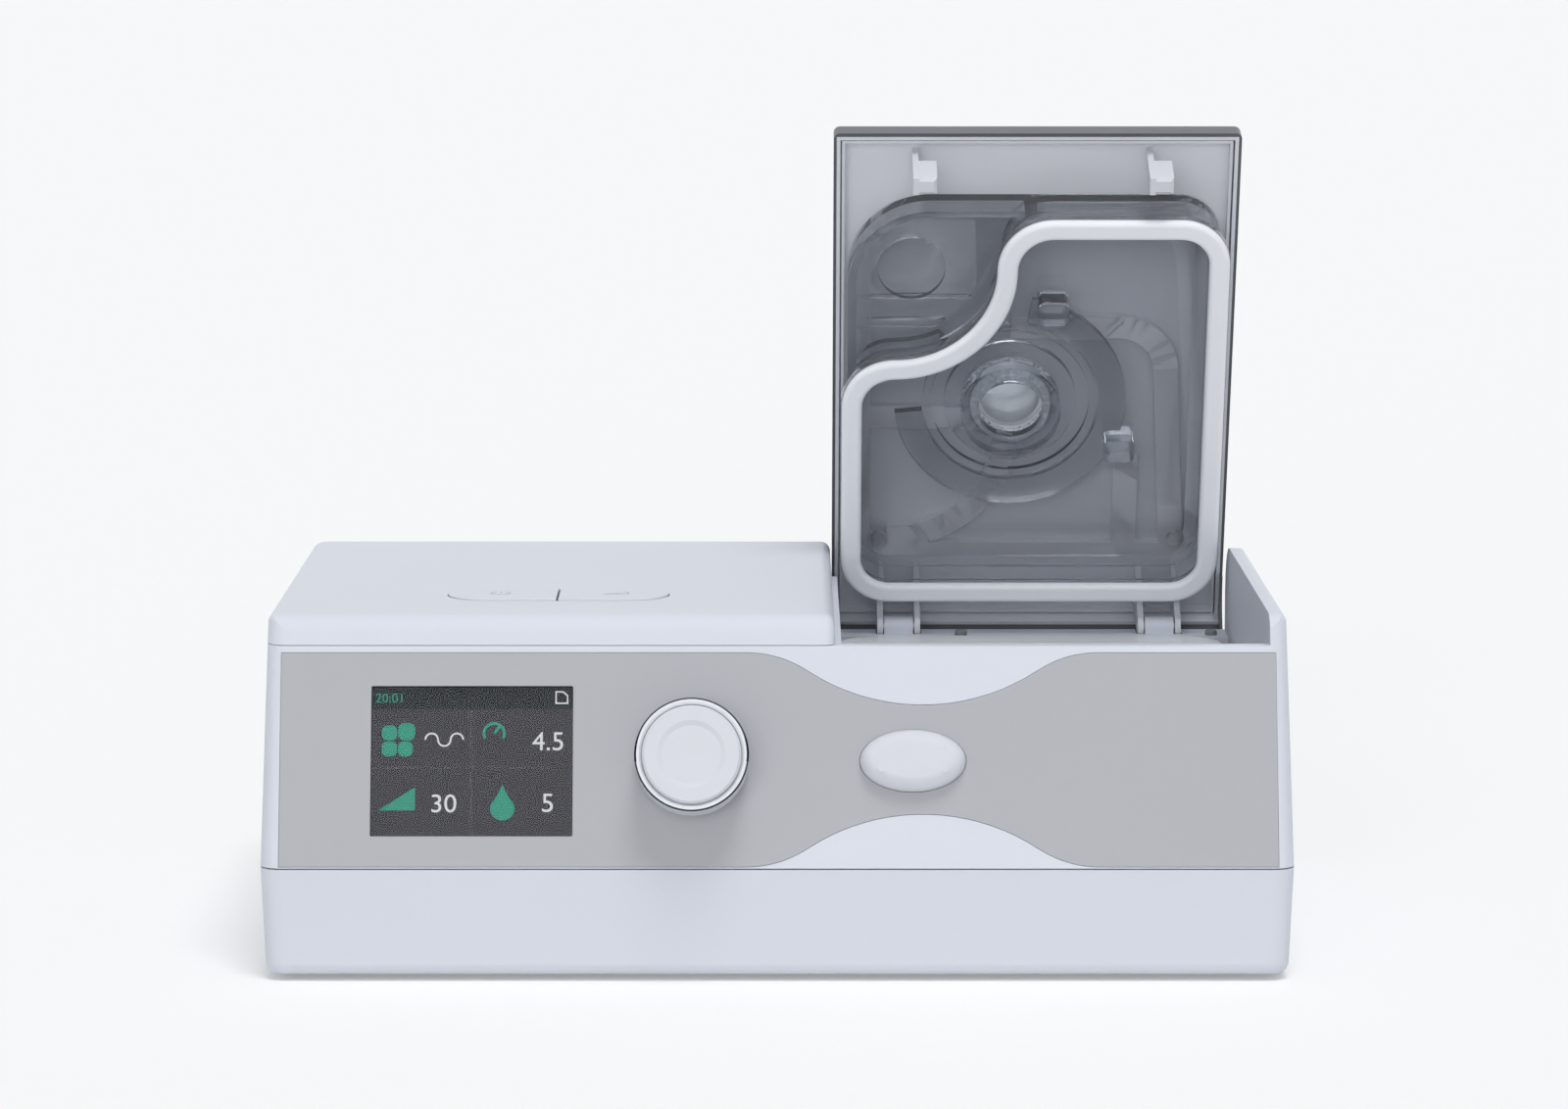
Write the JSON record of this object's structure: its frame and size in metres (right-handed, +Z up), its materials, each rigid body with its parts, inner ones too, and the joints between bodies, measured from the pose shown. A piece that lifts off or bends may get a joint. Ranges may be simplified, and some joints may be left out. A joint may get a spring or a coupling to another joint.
{
  "type": "cpap machine",
  "caption": "Bedside CPAP machine with display, control knob, lid latch, hinged humidifier lid in open position and lift-out water tub beside the blower.",
  "frame": {"origin": "on the table, under the middle of the whole machine with its lid open as stored", "axes": "+X to the right of someone facing the controls, +Y to the back, +Z up"},
  "size_m": [0.2944, 0.2172, 0.2356],
  "materials": {
    "case_plastic": "fine moulded texture",
    "panel_plastic": "fine moulded texture",
    "white_plastic": "smooth moulded",
    "dark_plastic": "fine moulded texture",
    "inner_plastic": "plain moulded",
    "window_glass": "clear hard-coated window",
    "display_face": "display surface",
    "smoke_clear": "smoky clear moulded",
    "tub_pale": "pale translucent moulded",
    "pale_silicone": "soft translucent silicone",
    "grey_rubber": "soft",
    "black_rubber": "soft",
    "steel": "plain",
    "bright_chrome": "polished",
    "heater_aluminium": "machined",
    "circuit_board": "lacquered board",
    "filter_fleece": "fine fleece",
    "grey_foam": "open foam"
  },
  "bodies": {
    "casing": {"base_shell": "case_plastic", "mid_housing": "case_plastic", "top_cover": "case_plastic", "feet": "black_rubber", "case_screws": "steel", "fascia": "panel_plastic", "display_lens": "window_glass", "lcd_module": "display_face", "display_board": "circuit_board", "encoder": "dark_plastic", "switch_board": "circuit_board", "blower_lower": "inner_plastic", "blower_upper": "inner_plastic", "blower_motor": "steel", "blower_mounts": "black_rubber", "air_duct": "black_rubber", "port_seal": "pale_silicone", "heater_plate": "heater_aluminium", "heater_ring": "dark_plastic", "deck_dampers": "grey_rubber", "hinge_pins": "steel", "dc_jack": "dark_plastic", "card_socket": "steel", "main_board": "circuit_board", "intake_box": "inner_plastic", "muffler_foam": "grey_foam"},
    "lid": {"lid_skin": "dark_plastic", "lid_liner": "white_plastic", "chamber_cover": "smoke_clear", "chamber_gasket": "pale_silicone", "cover_screws": "steel", "elbow_seal": "pale_silicone"},
    "lock_ring": {"lock_ring": "smoke_clear"},
    "outlet_elbow": {"outlet_elbow": "white_plastic"},
    "press_shaft": {"encoder_plunger": "steel"},
    "knob": {"encoder_shaft": "steel", "knob_cap": "white_plastic", "knob_ring": "bright_chrome"},
    "latch_button": {"latch_button": "white_plastic"},
    "latch_bar": {"latch_bar": "white_plastic"},
    "power_button": {"power_button": "case_plastic"},
    "ramp_button": {"ramp_button": "case_plastic"},
    "water_tub": {"water_tub": "tub_pale", "tub_plate": "steel"},
    "impeller": {"impeller": "inner_plastic", "motor_shaft": "steel"},
    "filter_door": {"filter_door": "case_plastic", "air_filter": "filter_fleece"},
    "memory_card": {"memory_card": "dark_plastic"}
  },
  "joints": [
    {"name": "lid_hinge", "type": "hinge", "parent": "casing", "child": "lid", "pos_m": [0.0788, 0.0813, 0.0764], "axis": [-1, 0, 0], "range_deg": [-67, 28]},
    {"name": "lock_ring_turn", "type": "hinge", "parent": "lid", "child": "lock_ring", "pos_m": [0.0721, 0.07001, 0.14907], "axis": [0, 0.9205, 0.3907], "range_deg": [0, 30]},
    {"name": "elbow_swivel", "type": "hinge", "parent": "lid", "child": "outlet_elbow", "pos_m": [0.0721, 0.07737, 0.15219], "axis": [0, 0.9205, 0.3907], "continuous": true},
    {"name": "shaft_press", "type": "slide", "parent": "casing", "child": "press_shaft", "axis": [0, 0.9573, -0.289], "range_m": [0, 0.0006], "stiffness_N_per_m": 2500},
    {"name": "knob_turn", "type": "hinge", "parent": "press_shaft", "child": "knob", "pos_m": [-0.0242, -0.09004, 0.06218], "axis": [0, -0.9573, 0.289], "continuous": true},
    {"name": "latch_press", "type": "slide", "parent": "casing", "child": "latch_button", "axis": [0, 0.9573, -0.289], "range_m": [0, 0.0025], "stiffness_N_per_m": 1200},
    {"name": "latch_slide", "type": "slide", "parent": "casing", "child": "latch_bar", "axis": [1, 0, 0], "range_m": [0, 0.0025]},
    {"name": "power_press", "type": "slide", "parent": "casing", "child": "power_button", "axis": [0, 0, -1], "range_m": [0, 0.0008], "stiffness_N_per_m": 1500},
    {"name": "ramp_press", "type": "slide", "parent": "casing", "child": "ramp_button", "axis": [0, 0, -1], "range_m": [0, 0.0008], "stiffness_N_per_m": 1500},
    {"name": "tub_lift", "type": "slide", "parent": "casing", "child": "water_tub", "axis": [0, 0, 1], "range_m": [0, 0.014]},
    {"name": "impeller_spin", "type": "hinge", "parent": "casing", "child": "impeller", "pos_m": [-0.048, -0.011, 0.03], "axis": [0, 0, 1], "continuous": true},
    {"name": "filter_door_pull", "type": "slide", "parent": "casing", "child": "filter_door", "axis": [0, 1, 0], "range_m": [0, 0.012]},
    {"name": "card_pull", "type": "slide", "parent": "casing", "child": "memory_card", "axis": [-1, 0, 0], "range_m": [0, 0.015]}
  ],
  "couplings": [
    {"joint": "latch_slide", "follows": "latch_press", "ratio": 1}
  ]
}
